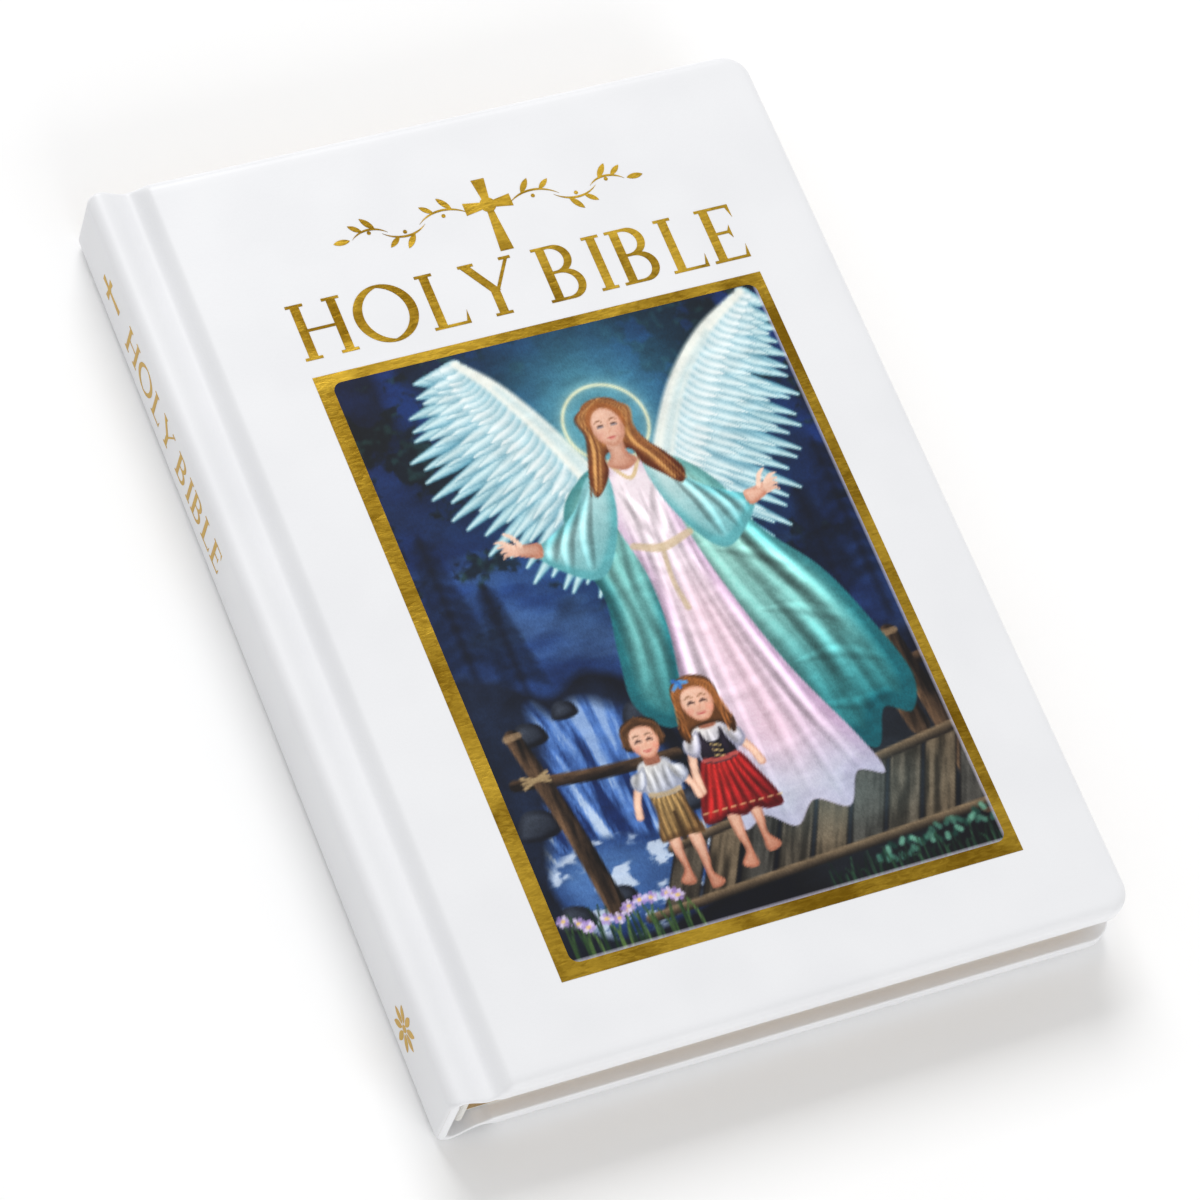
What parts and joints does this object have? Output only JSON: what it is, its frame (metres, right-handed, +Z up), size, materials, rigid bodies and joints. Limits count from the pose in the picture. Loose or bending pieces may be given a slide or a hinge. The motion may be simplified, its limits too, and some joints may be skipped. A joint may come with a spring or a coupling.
{
  "type": "padded hardcover bible",
  "caption": "Padded white hardcover bible with gold-stamped title, framed cover picture, hollow spine and leaves that turn with the front cover.",
  "frame": {"origin": "on the table under the middle of the closed book, which lies on its back cover", "axes": "+X from the spine to the fore-edge, +Y from the tail to the head of the book, +Z up out of the front cover"},
  "size_m": [0.135, 0.19, 0.0171],
  "materials": {
    "covering": "white padded leatherette, soft satin sheen",
    "board": "matte grey-brown board",
    "padding": "soft foam",
    "endpaper": "smooth white paper",
    "book_paper": "thin book paper with gilt edges",
    "thread": "linen thread",
    "glue": "dried flexible glue",
    "mull": "open cotton gauze",
    "kraft_paper": "brown kraft paper",
    "band": "woven white band",
    "print": "glossy colour print",
    "foil": "bright hot-stamped gold foil"
  },
  "bodies": {
    "back_cover": {"back_board": "board", "back_pad": "padding", "back_cover_skin": "covering", "back_pastedown": "endpaper", "back_flyleaf": "endpaper", "back_joint_cloth": "covering", "sewing_threads": "thread", "spine_glue": "glue", "mull": "mull", "spine_lining": "kraft_paper", "headband": "band", "tailband": "band"},
    "spine": {"spine_board": "board", "spine_skin": "covering", "spine_title_foil": "foil", "spine_ornament_foil": "foil"},
    "front_cover": {"front_board": "board", "front_pad": "padding", "front_cover_skin": "covering", "front_pastedown": "endpaper", "front_joint_cloth": "covering", "picture_print": "print", "foil_frame": "foil", "title_foil": "foil", "title_ornament_foil": "foil"},
    "flyleaf": {"front_flyleaf": "endpaper"},
    "leaves_01": {"signature_01": "book_paper"},
    "leaves_02": {"signature_02": "book_paper"},
    "leaves_03": {"signature_03": "book_paper"},
    "leaves_04": {"signature_04": "book_paper"},
    "leaves_05": {"signature_05": "book_paper"},
    "leaves_06": {"signature_06": "book_paper"},
    "leaves_07": {"signature_07": "book_paper"},
    "leaves_08": {"signature_08": "book_paper"},
    "leaves_09": {"signature_09": "book_paper"},
    "leaves_10": {"signature_10": "book_paper"}
  },
  "joints": [
    {"name": "spine_hinge", "type": "hinge", "parent": "back_cover", "child": "spine", "pos_m": [-0.0649, 0, 0.0026], "axis": [0, -1, 0], "range_deg": [0, 60], "deforming": ["back_joint_cloth"]},
    {"name": "front_cover_hinge", "type": "hinge", "parent": "spine", "child": "front_cover", "pos_m": [-0.0641, 0, 0.0148], "axis": [0, -1, 0], "range_deg": [0, 123], "deforming": ["front_joint_cloth"]},
    {"name": "flyleaf_turn", "type": "hinge", "parent": "back_cover", "child": "flyleaf", "pos_m": [-0.0639, 0, 0.0126], "axis": [0, -1, 0], "range_deg": [0, 178.6]},
    {"name": "leaves_10_turn", "type": "hinge", "parent": "back_cover", "child": "leaves_10", "pos_m": [-0.0639, 0, 0.0126], "axis": [0, -1, 0], "range_deg": [0, 178.2]},
    {"name": "leaves_09_turn", "type": "hinge", "parent": "back_cover", "child": "leaves_09", "pos_m": [-0.0639, 0, 0.0126], "axis": [0, -1, 0], "range_deg": [0, 177.4]},
    {"name": "leaves_08_turn", "type": "hinge", "parent": "back_cover", "child": "leaves_08", "pos_m": [-0.0639, 0, 0.0126], "axis": [0, -1, 0], "range_deg": [0, 176.2]},
    {"name": "leaves_07_turn", "type": "hinge", "parent": "back_cover", "child": "leaves_07", "pos_m": [-0.0639, 0, 0.0126], "axis": [0, -1, 0], "range_deg": [0, 174.4]},
    {"name": "leaves_06_turn", "type": "hinge", "parent": "back_cover", "child": "leaves_06", "pos_m": [-0.0639, 0, 0.0126], "axis": [0, -1, 0], "range_deg": [0, 171.5]},
    {"name": "leaves_05_turn", "type": "hinge", "parent": "back_cover", "child": "leaves_05", "pos_m": [-0.0639, 0, 0.0126], "axis": [0, -1, 0], "range_deg": [0, 9]},
    {"name": "leaves_04_turn", "type": "hinge", "parent": "back_cover", "child": "leaves_04", "pos_m": [-0.0639, 0, 0.0126], "axis": [0, -1, 0], "range_deg": [0, 5.2]},
    {"name": "leaves_03_turn", "type": "hinge", "parent": "back_cover", "child": "leaves_03", "pos_m": [-0.0639, 0, 0.0126], "axis": [0, -1, 0], "range_deg": [0, 2.9]},
    {"name": "leaves_02_turn", "type": "hinge", "parent": "back_cover", "child": "leaves_02", "pos_m": [-0.0639, 0, 0.0126], "axis": [0, -1, 0], "range_deg": [0, 1.4]},
    {"name": "leaves_01_turn", "type": "hinge", "parent": "back_cover", "child": "leaves_01", "pos_m": [-0.0639, 0, 0.0126], "axis": [0, -1, 0], "range_deg": [0, 0.601]}
  ],
  "couplings": [
    {"joint": "spine_hinge", "follows": "front_cover_hinge", "ratio": 0.4878},
    {"joint": "flyleaf_turn", "follows": "front_cover_hinge", "ratio": 1.452},
    {"joint": "leaves_10_turn", "follows": "front_cover_hinge", "ratio": 1.4488},
    {"joint": "leaves_09_turn", "follows": "front_cover_hinge", "ratio": 1.4423},
    {"joint": "leaves_08_turn", "follows": "front_cover_hinge", "ratio": 1.4325},
    {"joint": "leaves_07_turn", "follows": "front_cover_hinge", "ratio": 1.4179},
    {"joint": "leaves_06_turn", "follows": "front_cover_hinge", "ratio": 1.3943},
    {"joint": "leaves_05_turn", "follows": "front_cover_hinge", "ratio": 0.073171},
    {"joint": "leaves_04_turn", "follows": "front_cover_hinge", "ratio": 0.042276},
    {"joint": "leaves_03_turn", "follows": "front_cover_hinge", "ratio": 0.023577},
    {"joint": "leaves_02_turn", "follows": "front_cover_hinge", "ratio": 0.011382},
    {"joint": "leaves_01_turn", "follows": "front_cover_hinge", "ratio": 0.004878}
  ]
}
